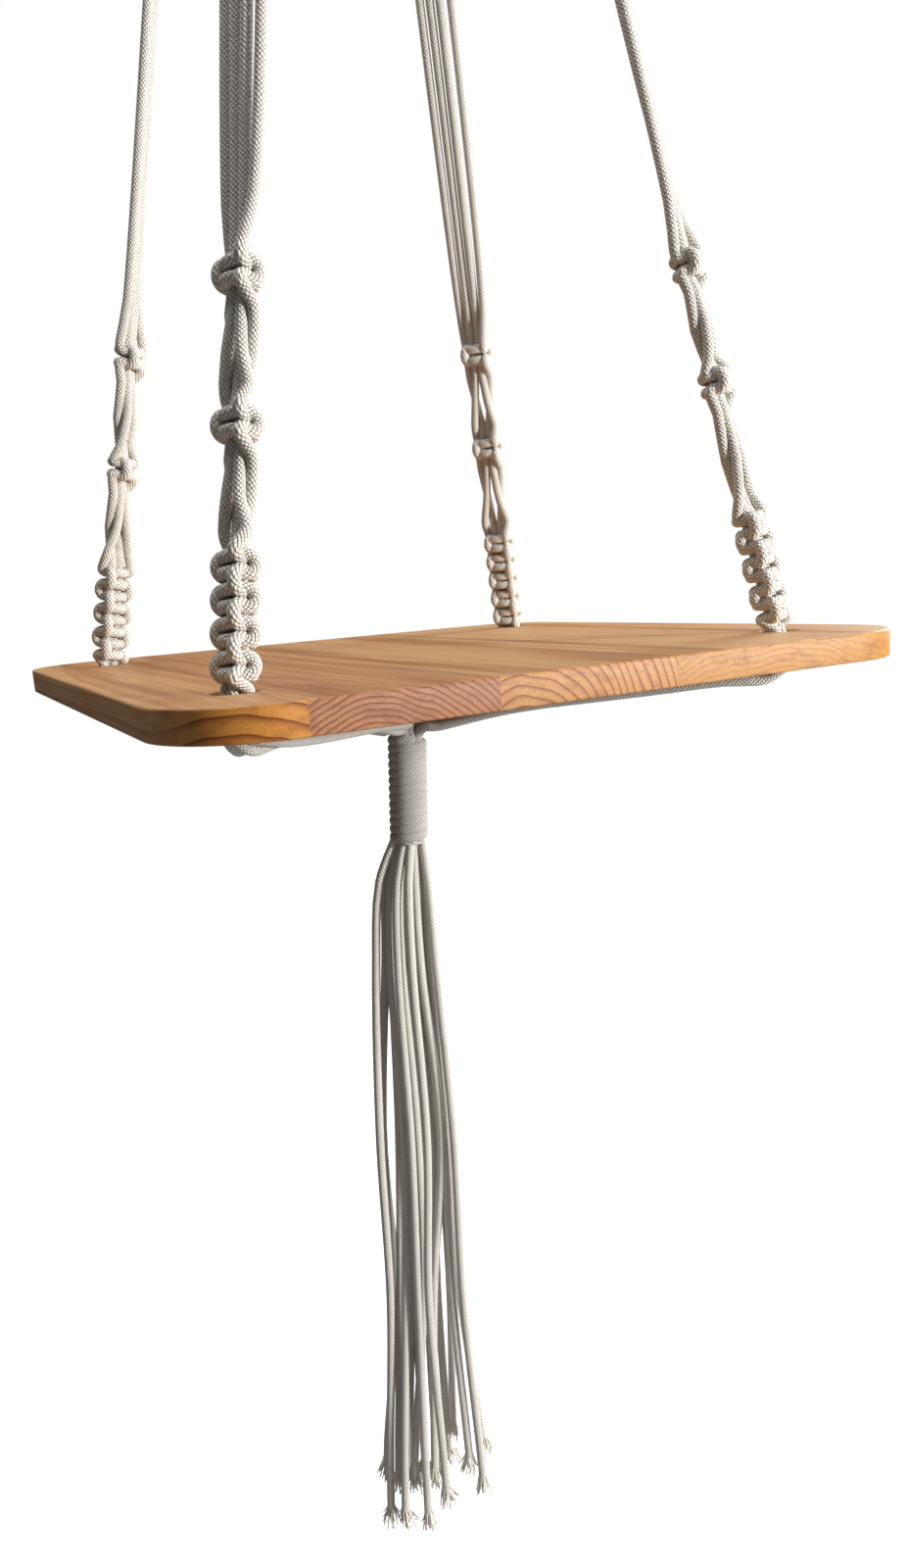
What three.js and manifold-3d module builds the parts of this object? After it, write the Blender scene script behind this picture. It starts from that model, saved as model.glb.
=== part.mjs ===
// A wooden shelf board hung by four knotted cord legs from one loop, with a long cord tassel under it.
// Millimetres, +Z up, +X along the board's end-grain edge. The origin is the inside top of the hanging loop.
import * as THREE from "three";
import { mergeVertices } from "three/addons/utils/BufferGeometryUtils.js";
import Module from "manifold-3d";

const wasm = await Module();
wasm.setup();

// Driving dimensions. Heights are above the board's top face, and drops are below it.
const HANG = 1280; // from the inside top of the loop down to the board's top face
const GAP = 0.3; // left between pieces that meet
const BOARD = { width: 500, depth: 520, thickness: 18, corner: 60, easing: 1 };
const HOLE = { radius: 13, outset: 3 };
const CORD = 7; // diameter of every cord
const FACET = { sides: 5, radius: 3.7 }; // a cord's section, to its corners
const STRAND = { sides: 4, radius: 3.9 }; // the same for a tassel strand
const LEG = { x: 193, y: 179, apex: 1193, top: 1120, bottom: -20 };
const SLOTS = [0, 1, 2, 3]; // the places of a leg's four cords, from one side to the other
const OPEN_PITCH = 7.3; // between neighbouring cords that hang side by side
const CROSS_PITCH = 6.4; // the same where the cords change places
const KNOT_PITCH = 5.2; // where a knot draws them together, zigzag
const BUNCH_PITCH = 3.7; // and where the four are bunched two deep
const CORE = { sides: 5, radius: 4.5 }; // the pressed middle of a bunch
const KNOT = { halfWidth: 13.4, halfDepth: 9.8, barRidge: 1.2, loopRidge: 1.3, sides: 10, rowsPerBar: 2 };
const SINGLE_KNOT = { height: 18, bars: 2 };
const WRAP = { radius: 15, groove: 2.2, pitch: 6.9, sides: 11 };
const TOP_WRAP = { height: 1150, turns: 10 };
const HUB = { across: -10, lean: -5, drop: 62, turns: 13 };
const VIEW_TURN = -27.5; // the tassel's broad side, in degrees about Z
const LOOP = { halfWidth: 29, cord: 9, dent: 1.6, lobes: 7, footX: 9.3 };
const BRUSH = { length: 20, topRadius: 3, footRadius: 8 };

// A row for each leg: which corner it hangs, the heights of its upper and lower knots' middles, the top, foot
// and bars of the row of knots above the board, and how far that row and all above it are turned, in degrees.
const LEGS = [
  { name: "back_left", x: -1, y: 1, upper: 234, lower: 153, top: 79, foot: 4, bars: 8, turn: -20, above: 12 },
  { name: "front_left", x: -1, y: -1, upper: 218, lower: 139, top: 74, foot: 4, bars: 8, turn: -30, above: -20 },
  { name: "back_right", x: 1, y: 1, upper: 246, lower: 167, top: 90, foot: 3, bars: 10, turn: 0, above: 0 },
  { name: "front_right", x: 1, y: -1, upper: 244, lower: 168, top: 82, foot: 5, bars: 8, turn: -23, above: -10 },
];

// A row for each stage of the cords under the board: the share of the way from hole to hub, and the drop.
const RUN = [
  { way: 0.035, drop: 29.5, pitch: 4.4 },
  { way: 0.15, drop: 33, pitch: OPEN_PITCH },
  { way: 0.7, drop: 47, pitch: OPEN_PITCH },
];
const RUN_END = { reach: 21, level: 6, drop: 56, pitch: 5.7 };
const SHOULDER = [
  { reach: 9.5, drop: 60.5 },
  { reach: 6.5, drop: 72 },
];

// The levels, as drops, at which a tassel strand's place is given below.
const LEVEL = { root: 145, shoulder: 180, upper: 250, middle: 400, lower: 550, foot: 700 };

// A row for each tassel strand: how far across it hangs at four levels, how deep at two, and its brush's end.
const STRANDS = [
  { upper: -49, middle: -58, lower: -61, foot: -73, deepUpper: -3, deepFoot: -6, end: 775 },
  { upper: -42, middle: -56, lower: -57, foot: -76, deepUpper: 8, deepFoot: 8, end: 738 },
  { upper: -37, middle: -43, lower: -53, foot: -66, deepUpper: 13, deepFoot: 3, end: 750 },
  { upper: -38, middle: -38, lower: -48, foot: -60, deepUpper: 2, deepFoot: -12, end: 772 },
  { upper: -31, middle: -32, lower: -37, foot: -42, deepUpper: -9, deepFoot: -13, end: 775 },
  { upper: -28, middle: -27, lower: -33, foot: -51, deepUpper: 1, deepFoot: 0, end: 748 },
  { upper: -20, middle: -19, lower: -28, foot: -26, deepUpper: -11, deepFoot: -13, end: 752 },
  { upper: -13, middle: -7, lower: -24, foot: -34, deepUpper: -3, deepFoot: 2, end: 745 },
  { upper: -7, middle: -5, lower: -8, foot: -4, deepUpper: 2, deepFoot: -5, end: 728 },
  { upper: -1, middle: 3, lower: 1, foot: 6, deepUpper: -5, deepFoot: -7, end: 748 },
  { upper: -4, middle: -1, lower: -2, foot: 9, deepUpper: 11, deepFoot: 8, end: 722 },
  { upper: -12, middle: -9, lower: -10, foot: -17, deepUpper: 8, deepFoot: 7, end: 700 },
  { upper: -19, middle: -15, lower: -21, foot: -22, deepUpper: 10, deepFoot: 13, end: 735 },
  { upper: -25, middle: -24, lower: -40, foot: -44, deepUpper: 15, deepFoot: 10, end: 745 },
  { upper: -16, middle: -20, lower: -30, foot: -34, deepUpper: 18, deepFoot: 18, end: 750 },
  { upper: -32, middle: -35, lower: -44, foot: -56, deepUpper: 13, deepFoot: 12, end: 742 },
];

const wood = () => new THREE.MeshStandardMaterial({ color: 0xb08660, roughness: 0.42, metalness: 0 });
const cotton = () => new THREE.MeshStandardMaterial({ color: 0xe4dfd4, roughness: 0.95, metalness: 0 });

// Helpers that turn geometries into solids and named meshes
function solidOf(geometry) {
  geometry.deleteAttribute("normal");
  geometry.deleteAttribute("uv");
  const merged = mergeVertices(geometry, 1e-4);
  const vertProperties = new Float32Array(merged.attributes.position.array);
  const triVerts = new Uint32Array(merged.index.array);
  return new wasm.Manifold(new wasm.Mesh({ numProp: 3, vertProperties, triVerts }));
}

// Joins solids into one body, without the tiny closed gaps that cords pressed together leave between them
function fuse(solids) {
  const joined = solids.reduce((all, next) => all.add(next));
  const skins = joined.decompose().filter((skin) => skin.volume() > 0);
  return skins.reduce((all, next) => all.add(next));
}

function meshOf(name, solid, material) {
  const { vertProperties, triVerts } = solid.getMesh();
  const geometry = new THREE.BufferGeometry();
  geometry.setAttribute("position", new THREE.BufferAttribute(vertProperties, 3));
  geometry.setIndex(new THREE.BufferAttribute(triVerts, 1));
  geometry.computeVertexNormals();
  const mesh = new THREE.Mesh(geometry, material);
  mesh.name = name;
  return mesh;
}

// A smooth route whose steps fall on its own points
class Route extends THREE.CatmullRomCurve3 {
  constructor(points) {
    super(points, false, "centripetal");
  }

  getUtoTmapping(share) {
    return share;
  }
}

function polygon(sides, radiusAt) {
  const corners = Array.from({ length: sides }, (_, i) => {
    const turn = (2 * Math.PI * i) / sides;
    const radius = radiusAt(i);
    return new THREE.Vector2(radius * Math.cos(turn), radius * Math.sin(turn));
  });
  return new THREE.Shape(corners);
}

// One cord along a route, with a step on each of the route's points
function cord(points, { sides, radius } = FACET) {
  const section = polygon(sides, () => radius);
  const options = { steps: points.length - 1, bevelEnabled: false, extrudePath: new Route(points) };
  return solidOf(new THREE.ExtrudeGeometry(section, options));
}

// The board: rounded corners, eased edges and one hole under each leg
function boardShape() {
  const { width, depth, corner } = BOARD;
  const x = width / 2;
  const y = depth / 2;
  const shape = new THREE.Shape();
  shape.moveTo(-x + corner, -y);
  shape.lineTo(x - corner, -y);
  shape.absarc(x - corner, -y + corner, corner, -Math.PI / 2, 0);
  shape.lineTo(x, y - corner);
  shape.absarc(x - corner, y - corner, corner, 0, Math.PI / 2);
  shape.lineTo(-x + corner, y);
  shape.absarc(-x + corner, y - corner, corner, Math.PI / 2, Math.PI);
  shape.lineTo(-x, -y + corner);
  shape.absarc(-x + corner, -y + corner, corner, Math.PI, 1.5 * Math.PI);
  return shape;
}

function board() {
  const shape = boardShape();
  const outset = 1 + HOLE.outset / Math.hypot(LEG.x, LEG.y);
  for (const leg of LEGS) {
    const hole = new THREE.Path();
    hole.absarc(leg.x * LEG.x * outset, leg.y * LEG.y * outset, HOLE.radius, 0, 2 * Math.PI);
    shape.holes.push(hole);
  }
  const geometry = new THREE.ExtrudeGeometry(shape, {
    depth: BOARD.thickness - 2 * BOARD.easing,
    curveSegments: 6,
    bevelThickness: BOARD.easing,
    bevelSize: BOARD.easing,
    bevelOffset: -BOARD.easing,
    bevelSegments: 1,
  });
  geometry.translate(0, 0, BOARD.easing - BOARD.thickness);
  return meshOf("board", solidOf(geometry), wood());
}

// The line of a leg: from its foot in the hole up to the apex
function legFrame(leg) {
  const foot = new THREE.Vector3(leg.x * LEG.x, leg.y * LEG.y, 0);
  const apex = new THREE.Vector3(0, 0, LEG.apex);
  const up = apex.clone().sub(foot).normalize();
  return { leg, foot, apex, up };
}

// The directions across a leg's knots and out of their faces, which turn above the row, up to the next knot
function facesAt({ leg, foot, up }, height) {
  const turned = (height - leg.top) / (leg.lower - SINGLE_KNOT.height / 2 - leg.top);
  const twist = THREE.MathUtils.lerp(leg.turn, leg.above, THREE.MathUtils.clamp(turned, 0, 1));
  const tangent = new THREE.Vector3().crossVectors(foot, up).normalize();
  const across = tangent.applyAxisAngle(up, THREE.MathUtils.degToRad(twist));
  const facing = new THREE.Vector3().crossVectors(up, across);
  return { across, facing };
}

function legPoint(frame, height, across, facing) {
  const faces = facesAt(frame, height);
  return frame.foot
    .clone()
    .lerp(frame.apex, height / LEG.apex)
    .addScaledVector(faces.across, across)
    .addScaledVector(faces.facing, facing);
}

// A cord's place beside its three neighbours: slots run from 0 to 3 across the leg
function sideBySide(slot, pitch) {
  return (slot - 1.5) * pitch;
}

// Cords closer together than the open pitch stand zigzag, before and behind, and still clear each other
function zigzag(slot, pitch) {
  const stagger = Math.sqrt(Math.max(0, OPEN_PITCH ** 2 - pitch ** 2)) / 2;
  return slot % 2 ? stagger : -stagger;
}

function slotPoint(frame, height, slot, pitch) {
  return legPoint(frame, height, sideBySide(slot, pitch), zigzag(slot, pitch));
}

// How much longer a leg is than it is high
function slope(frame) {
  return frame.apex.distanceTo(frame.foot) / LEG.apex;
}

// A ridged knot body: a bar for each crossing in front and behind, and a side loop for each pair of bars
function knotBody({ height, bars }) {
  const rows = bars * KNOT.rowsPerBar;
  const profile = [new THREE.Vector2(0, 0)];
  for (let row = 0; row <= rows; row++) profile.push(new THREE.Vector2(1, (height * row) / rows));
  profile.push(new THREE.Vector2(0, height));
  const geometry = new THREE.LatheGeometry(profile, KNOT.sides);
  geometry.rotateX(Math.PI / 2);
  const place = geometry.attributes.position;
  for (let i = 0; i < place.count; i++) {
    const turn = Math.atan2(place.getY(i), place.getX(i));
    const z = place.getZ(i);
    const side = Math.abs(Math.cos(turn));
    const face = Math.abs(Math.sin(turn));
    const oval = 1 / Math.hypot(side / KNOT.halfWidth, face / KNOT.halfDepth);
    const beat = (2 * Math.PI * z * bars) / height;
    const bar = KNOT.barRidge * face * Math.cos(beat + Math.PI);
    const loop = KNOT.loopRidge * side * Math.cos(beat / 2 + Math.PI);
    const scale = Math.hypot(place.getX(i), place.getY(i)) > 0.5 ? oval + bar + loop : 0;
    place.setXY(i, scale * Math.cos(turn), scale * Math.sin(turn));
  }
  return geometry;
}

function knotOn(frame, middle, kind) {
  const seat = legPoint(frame, middle - kind.height / 2 / slope(frame), 0, 0);
  const { across, facing } = facesAt(frame, middle);
  const basis = new THREE.Matrix4().makeBasis(across, facing, frame.up).setPosition(seat);
  return solidOf(knotBody(kind).applyMatrix4(basis));
}

// The four cords between two knots: each side's inner cord comes outward in front, and the outer one goes in
function crossing(frame, from, to, endPitch) {
  const span = from - to;
  return SLOTS.map((slot) => {
    const other = slot ^ 1;
    const inner = slot === 1 || slot === 2;
    const ahead = (inner ? 0.5 : -0.5) * OPEN_PITCH;
    const middle = (sideBySide(slot, CROSS_PITCH) + sideBySide(other, CROSS_PITCH)) / 2;
    return cord([
      slotPoint(frame, from, slot, KNOT_PITCH),
      legPoint(frame, from - span * 0.2, sideBySide(slot, CROSS_PITCH), ahead * 0.5),
      legPoint(frame, from - span * 0.55, middle, ahead),
      legPoint(frame, from - span * 0.82, sideBySide(other, endPitch), ahead * 0.5),
      legPoint(frame, to, sideBySide(other, KNOT_PITCH), zigzag(slot, KNOT_PITCH)),
    ]);
  });
}

function leg(row) {
  const frame = legFrame(row);
  const half = SINGLE_KNOT.height / 2 - 2;
  const sinnet = { height: (row.top - row.foot) * slope(frame), bars: row.bars };
  const upper = SLOTS.map((slot) =>
    cord([
      slotPoint(frame, row.upper + half, slot, KNOT_PITCH),
      slotPoint(frame, row.upper + half + 30, slot, OPEN_PITCH),
      slotPoint(frame, LEG.top - 220, slot, OPEN_PITCH),
      slotPoint(frame, LEG.top - 10, slot, BUNCH_PITCH),
      slotPoint(frame, LEG.top, slot, BUNCH_PITCH),
    ]),
  );
  const lower = SLOTS.map((slot) =>
    cord([
      slotPoint(frame, row.foot + 3, slot, KNOT_PITCH),
      slotPoint(frame, 0, slot, BUNCH_PITCH),
      slotPoint(frame, LEG.bottom, slot, BUNCH_PITCH),
    ]),
  );
  const solids = [
    ...upper,
    knotOn(frame, row.upper, SINGLE_KNOT),
    ...crossing(frame, row.upper - half, row.lower + half, CROSS_PITCH),
    knotOn(frame, row.lower, SINGLE_KNOT),
    ...crossing(frame, row.lower - half, row.top - 2, OPEN_PITCH),
    knotOn(frame, (row.top + row.foot) / 2, sinnet),
    ...lower,
  ];
  return meshOf("leg_" + row.name, fuse(solids), cotton());
}

// Places in the tassel's own turned frame, with its middle off the board's by the hub's reach
function tasselPoint(across, deep, drop) {
  const turn = THREE.MathUtils.degToRad(VIEW_TURN);
  const x = across * Math.cos(turn) - deep * Math.sin(turn);
  const y = across * Math.sin(turn) + deep * Math.cos(turn);
  return new THREE.Vector3(x, y, -drop);
}

// The frame of the cords that run under the board from one hole to the hub
function runFrame(row) {
  const foot = legPoint(legFrame(row), LEG.bottom, 0, 0).setZ(0);
  const hub = tasselPoint(HUB.across, 0, 0);
  const length = hub.distanceTo(foot);
  const inward = hub.clone().sub(foot).normalize();
  const side = new THREE.Vector3(0, 0, 1).cross(inward);
  return { foot, length, inward, side };
}

function runPoint(frame, travelled, drop, slot, pitch) {
  return frame.foot
    .clone()
    .addScaledVector(frame.inward, travelled)
    .addScaledVector(frame.side, sideBySide(slot, pitch))
    .setZ(-drop - zigzag(slot, pitch));
}

// From the leg's end, straight on at first, then round under the board and down to the hub
function runRoute(row, slot) {
  const frame = runFrame(row);
  const start = legFrame(row);
  const stages = RUN.map(({ way, drop, pitch }) => runPoint(frame, way * frame.length, drop, slot, pitch));
  const end = frame.length - RUN_END.reach;
  return [
    slotPoint(start, LEG.bottom - GAP, slot, BUNCH_PITCH),
    slotPoint(start, LEG.bottom - CORD / 2, slot, BUNCH_PITCH),
    ...stages,
    runPoint(frame, end - RUN_END.level, RUN_END.drop, slot, RUN_END.pitch),
    runPoint(frame, end, RUN_END.drop, slot, RUN_END.pitch),
  ];
}

function run(row) {
  const start = legFrame(row);
  const coreEnds = [LEG.bottom - GAP, LEG.bottom - CORD].map((height) => legPoint(start, height, 0, 0));
  const core = cord(coreEnds, CORE);
  const cords = SLOTS.map((slot) => cord(runRoute(row, slot)));
  return meshOf("run_" + row.name, fuse([core, ...cords]), cotton());
}

// The ends of those cords, going on from each run and turning down into the head of the tassel
function shoulders(row) {
  const frame = runFrame(row);
  return SLOTS.map((slot) => {
    const end = runRoute(row, slot).at(-1);
    const start = end.clone().addScaledVector(frame.inward, GAP);
    const onward = end.clone().addScaledVector(frame.inward, CORD / 2);
    const turns = SHOULDER.map(({ reach, drop }) =>
      runPoint(frame, frame.length - reach, drop, slot, BUNCH_PITCH),
    );
    return cord([start, onward, ...turns]);
  });
}

// A cord wound round and round: a solid with a ridge for each turn, standing on z = 0
function wrapBody(turns) {
  const profile = [new THREE.Vector2(0, 0)];
  for (let turn = 0; turn < turns; turn++) {
    profile.push(new THREE.Vector2(WRAP.radius - WRAP.groove, turn * WRAP.pitch));
    profile.push(new THREE.Vector2(WRAP.radius, (turn + 0.5) * WRAP.pitch));
  }
  profile.push(new THREE.Vector2(WRAP.radius - WRAP.groove, turns * WRAP.pitch));
  profile.push(new THREE.Vector2(0, turns * WRAP.pitch));
  return new THREE.LatheGeometry(profile, WRAP.sides).rotateX(Math.PI / 2);
}

function strandPoints(row) {
  const centre = HUB.across + HUB.lean;
  const root = { across: centre + 0.42 * (row.upper + 25), deep: 0.5 * row.deepUpper - 1 };
  const shoulderAcross = 0.35 * root.across + 0.65 * row.upper;
  const shoulderDeep = 0.3 * root.deep + 0.7 * row.deepUpper;
  const share = (row.end - BRUSH.length - LEVEL.foot) / (LEVEL.foot - LEVEL.lower);
  const deepLower = 0.35 * row.deepUpper + 0.65 * row.deepFoot;
  const end = row.foot + share * 0.8 * (row.foot - row.lower);
  const points = [
    tasselPoint(root.across, root.deep, LEVEL.root),
    tasselPoint(shoulderAcross, shoulderDeep, LEVEL.shoulder),
    tasselPoint(row.upper, row.deepUpper, LEVEL.upper),
    tasselPoint(row.middle, 0.7 * row.deepUpper + 0.3 * row.deepFoot, LEVEL.middle),
    tasselPoint(row.lower, deepLower, LEVEL.lower),
  ];
  if (share > 0.1) points.push(tasselPoint(row.foot, row.deepFoot, LEVEL.foot));
  points.push(tasselPoint(end, row.deepFoot, row.end - BRUSH.length));
  return points;
}

// A strand's frayed end, as a small flared lock
function brush(foot) {
  const { length, topRadius, footRadius } = BRUSH;
  const geometry = new THREE.CylinderGeometry(topRadius, footRadius, length, 4).rotateX(Math.PI / 2);
  geometry.translate(foot.x, foot.y, foot.z + 1 - length / 2);
  return solidOf(geometry);
}

function tassel() {
  const height = HUB.turns * WRAP.pitch;
  const lean = Math.atan2(HUB.lean, height);
  const seat = tasselPoint(HUB.across + HUB.lean, 0, HUB.drop + height);
  const wrap = wrapBody(HUB.turns).rotateY(-lean);
  wrap.rotateZ(THREE.MathUtils.degToRad(VIEW_TURN)).translate(seat.x, seat.y, seat.z);
  const strands = STRANDS.flatMap((row) => {
    const points = strandPoints(row);
    return [cord(points, STRAND), brush(points.at(-1))];
  });
  const solids = [solidOf(wrap), ...LEGS.flatMap(shoulders), ...strands];
  return meshOf("tassel", fuse(solids), cotton());
}

// The legs' last stretch, drawn together and bound under the loop
function topWrap() {
  const wrap = wrapBody(TOP_WRAP.turns).translate(0, 0, TOP_WRAP.height);
  const ends = LEGS.flatMap((row) => {
    const frame = legFrame(row);
    const inner = TOP_WRAP.height + WRAP.pitch;
    return SLOTS.map((slot) => {
      const start = slotPoint(frame, LEG.top + GAP, slot, BUNCH_PITCH);
      const onward = slotPoint(frame, LEG.top + CORD, slot, BUNCH_PITCH);
      const end = slotPoint(frame, inner, slot, BUNCH_PITCH).multiply(new THREE.Vector3(0.6, 0.6, 1));
      return cord([start, onward, end]);
    });
  });
  return meshOf("top_wrap", fuse([solidOf(wrap), ...ends]), cotton());
}

// The hanging loop: the middles of the cords, bunched and bent over in one arch
function hangingLoop() {
  const foot = TOP_WRAP.height + TOP_WRAP.turns * WRAP.pitch + GAP;
  const crown = HANG + LOOP.cord;
  const middle = crown - LOOP.halfWidth;
  const arch = [0, 45, 90, 135, 180].map((degrees) => {
    const turn = THREE.MathUtils.degToRad(180 - degrees);
    return new THREE.Vector3(LOOP.halfWidth * Math.cos(turn), 0, middle + LOOP.halfWidth * Math.sin(turn));
  });
  const side = (x) => [
    new THREE.Vector3(x * LOOP.footX, 0, foot),
    new THREE.Vector3(x * LOOP.footX, 0, foot + 4),
    new THREE.Vector3(x * 0.55 * (LOOP.halfWidth + LOOP.footX), 0, (foot + middle) / 2),
  ];
  const points = [...side(-1), ...arch, ...side(1).reverse()];
  const section = polygon(2 * LOOP.lobes, (i) => LOOP.cord - (i % 2 ? LOOP.dent : 0));
  const options = { steps: points.length - 1, bevelEnabled: false, extrudePath: new Route(points) };
  return meshOf("hanging_loop", solidOf(new THREE.ExtrudeGeometry(section, options)), cotton());
}

const shelf = new THREE.Group();
shelf.position.z = -HANG;
shelf.add(board(), ...LEGS.map(leg), ...LEGS.map(run), tassel(), topWrap(), hangingLoop());

export default shelf;
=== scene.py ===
# A wooden shelf board hung by four knotted cord legs from one loop, with a long cord tassel under it.
import math
from collections import namedtuple

import bpy
import numpy as np
from mathutils import Matrix, Vector


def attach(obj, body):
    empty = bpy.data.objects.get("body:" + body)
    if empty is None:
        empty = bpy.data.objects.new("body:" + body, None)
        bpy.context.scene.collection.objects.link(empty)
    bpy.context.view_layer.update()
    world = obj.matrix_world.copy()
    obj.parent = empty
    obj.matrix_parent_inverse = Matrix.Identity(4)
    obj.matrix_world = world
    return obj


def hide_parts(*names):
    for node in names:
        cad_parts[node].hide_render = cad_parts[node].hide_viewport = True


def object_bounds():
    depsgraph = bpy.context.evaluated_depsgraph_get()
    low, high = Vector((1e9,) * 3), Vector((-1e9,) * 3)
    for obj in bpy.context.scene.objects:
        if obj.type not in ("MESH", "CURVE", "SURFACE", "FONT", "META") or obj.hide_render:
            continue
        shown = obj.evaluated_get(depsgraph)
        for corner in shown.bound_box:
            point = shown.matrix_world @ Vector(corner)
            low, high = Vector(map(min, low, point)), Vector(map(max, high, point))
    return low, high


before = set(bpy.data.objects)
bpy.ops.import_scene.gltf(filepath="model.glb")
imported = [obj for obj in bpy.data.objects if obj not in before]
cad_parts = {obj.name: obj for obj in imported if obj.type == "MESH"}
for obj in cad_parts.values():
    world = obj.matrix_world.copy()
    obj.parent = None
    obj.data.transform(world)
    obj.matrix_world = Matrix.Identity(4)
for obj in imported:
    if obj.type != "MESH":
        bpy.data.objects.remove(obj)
cad_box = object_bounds()

# Sizes are in millimetres from the middle of the board's top face, and turns in degrees, unless stated.
MM = 0.001
HANG = 1280.0  # from the inside top of the loop down to the board's top face
BOARD = {"width": 500.0, "depth": 520.0, "thickness": 18.0, "corner": 60.0, "easing": 1.3}
HOLE = {"radius": 13.0, "outset": 3.0}

# The cords of a leg: their number, how thick they are, and how far apart neighbours lie
CORDS = 4
CORD_RADIUS = 3.5
KNOT_SWELL = 1.08  # a slack knotted cord is that much thicker
OPEN_PITCH = 7.3  # where they hang side by side
KNOT_PITCH = 6.8  # the two that a knot goes round
CROSS_PITCH = 6.2  # where they change places
HOLE_PITCH = 4.4  # in the board's holes
BUNCH_PITCH = 3.7  # where the four are bunched two deep

# The legs' feet on the board, the height where their lines meet, and the ends of what shows of their cords
LEG_X, LEG_Y, APEX = 193.0, 179.0, 1193.0
LEG_TOP, LEG_BOTTOM = 1120.0, -20.0
FAN = {"bunched_above": 7.0, "bunched_below": 10.0, "open_below": 220.0, "open_over_knot": 30.0}
DRAWN_IN = 0.6  # inside the top binding, a cord's end lies at this share of its leg's way out
TOP_POINT = 2  # the point of a cord's route that lies at LEG_TOP
SINGLE_KNOT, SINGLE_BARS = 18.0, 2
INNER = (1, 2)  # the places of a leg's two inner cords
CROSSING = {"margin": 0.15, "middle": 0.55, "facing_above": 0.4, "facing_below": 0.5}
BELOW_SINNET = 4.0

# The two bindings: a wound cord, flattened against the core inside it
WRAP = {"centre_radius": 12.7, "pitch": 6.9, "width": 3.65, "squash": 0.7}
CORE = {"radius": 12.3, "inset": 2.0}
WINDING = {"steps": 16, "tucked_in": 0.55, "tuck_steps": 6, "starts_across": (0.2, 1.0, 0.0)}
TOP_WRAP = {"height": 1150.0, "turns": 10}
HUB = {"across": -10.0, "lean": -5.0, "drop": 62.0, "turns": 13}
VIEW_TURN = math.radians(-27.5)  # the tassel's broad side, about Z

# The loop: its arch, the places of its two feet, and the strands bundled in it
LOOP = {"half_width": 29.0, "bundle_radius": 9.0, "side": 0.55}
LOOP_FOOT = {"x": 9.3, "sunk_x": 6.5, "sunk": 8.0, "rise": 12.0}
BUNDLE = {"outer_strands": 7, "ring": 6.2, "strand": 3.1, "twist": 0.9}

# A place on a knot's working cord: across and out of the leg, and how many bars below the turn it is
Pass = namedtuple("Pass", "across facing below")
OVER = [  # the cord behind: it comes up inside each side, over the front cord's ends, and goes behind again
    Pass(6.3, -4.6, -0.56),
    Pass(7.0, 0.6, -0.64),
    Pass(8.3, 5.4, -0.54),
    Pass(9.0, 7.3, -0.22),
    Pass(9.0, 7.3, 0.22),
    Pass(8.3, 5.4, 0.54),
    Pass(7.0, 0.6, 0.64),
    Pass(6.3, -4.6, 0.56),
    Pass(3.0, -6.8, 0.52),
    Pass(-3.0, -6.8, 0.48),
]
UNDER = [  # the cord in front: it turns round outside the other, and its bars tuck in under the other's turns
    Pass(6.3, 4.6, -0.53),
    Pass(8.0, 1.2, -0.57),
    Pass(9.9, -3.0, -0.42),
    Pass(10.5, -4.6, 0.0),
    Pass(9.9, -3.0, 0.42),
    Pass(8.0, 1.2, 0.57),
    Pass(6.3, 4.6, 0.53),
    Pass(3.0, 6.6, 0.51),
    Pass(-3.0, 6.6, 0.49),
]

# Heights along each leg, the bars in its sinnet, the side where its first bar starts, and the twist of its
# sinnet and of all above
Leg = namedtuple("Leg", "name x y upper_knot lower_knot sinnet_top sinnet_foot bars start twist upper_twist")
LEGS = [
    Leg("back_left", -1, 1, 234, 153, 79, 4, 8, 1, 160, 192),
    Leg("front_left", -1, -1, 218, 139, 74, 4, 8, 1, -30, -20),
    Leg("back_right", 1, 1, 246, 167, 90, 3, 10, 1, 180, 180),
    Leg("front_right", 1, -1, 244, 168, 82, 5, 8, 1, -23, -10),
]

# The cords under the board: the share of the way from hole to hub, the drop, and how far apart they lie
Stage = namedtuple("Stage", "way drop pitch")
RUN = [Stage(0.035, 29.5, HOLE_PITCH), Stage(0.15, 33, OPEN_PITCH), Stage(0.7, 47, OPEN_PITCH)]
RUN_END = {"reach": 21.0, "level": 6.0, "drop": 56.0, "pitch": 5.7}
RUN_POINTS = len(RUN) + 2  # a cord's points past the hole, up to the run's end
Shoulder = namedtuple("Shoulder", "reach drop")
SHOULDERS = [Shoulder(9.5, 60.5), Shoulder(6.5, 72)]

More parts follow.
